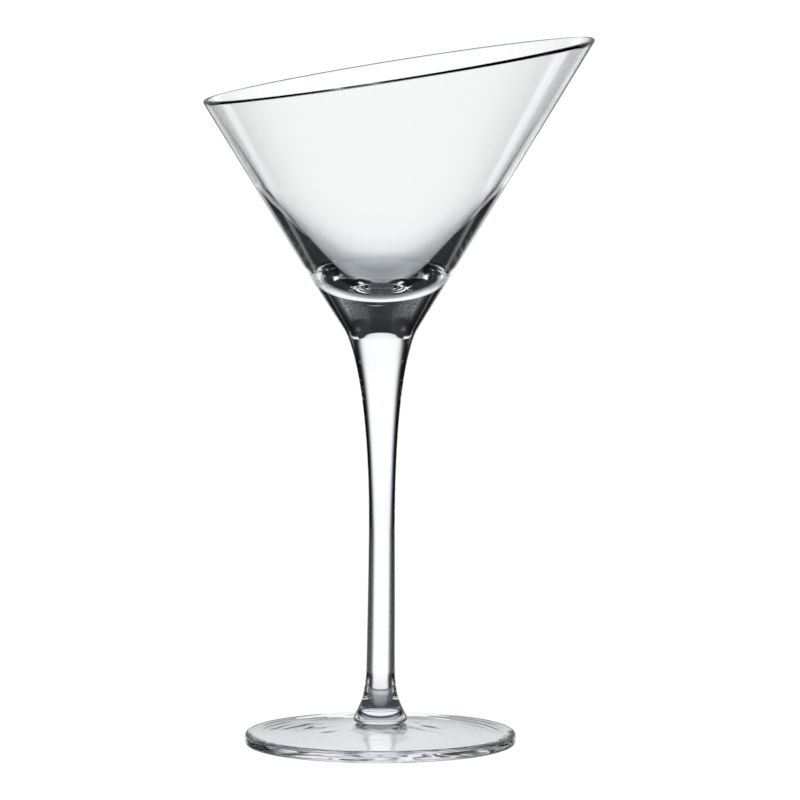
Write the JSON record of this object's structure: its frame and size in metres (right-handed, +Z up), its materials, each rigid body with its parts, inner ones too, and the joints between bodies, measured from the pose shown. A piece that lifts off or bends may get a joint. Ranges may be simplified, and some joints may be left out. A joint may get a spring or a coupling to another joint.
{
  "type": "martini glass",
  "caption": "Clear stemmed cocktail glass with a thin cone bowl cut on a slant, a solid drawn stem and a round foot hollowed underneath.",
  "frame": {"origin": "centre of the flat ring under the foot, on the stem's axis", "axes": "+Z up along the stem, +X towards the highest point of the slanted rim, +Y to its side, away from the viewer"},
  "size_m": [0.1152, 0.1146, 0.2077],
  "materials": {
    "bowl_glass": "clear blown glass, fire-polished",
    "stem_glass": "clear drawn glass, fire-polished",
    "foot_glass": "clear cast glass, fire-polished, with a flat ring to rest on"
  },
  "bodies": {
    "root": {"bowl": "bowl_glass", "stem": "stem_glass", "foot": "foot_glass"}
  },
  "joints": []
}
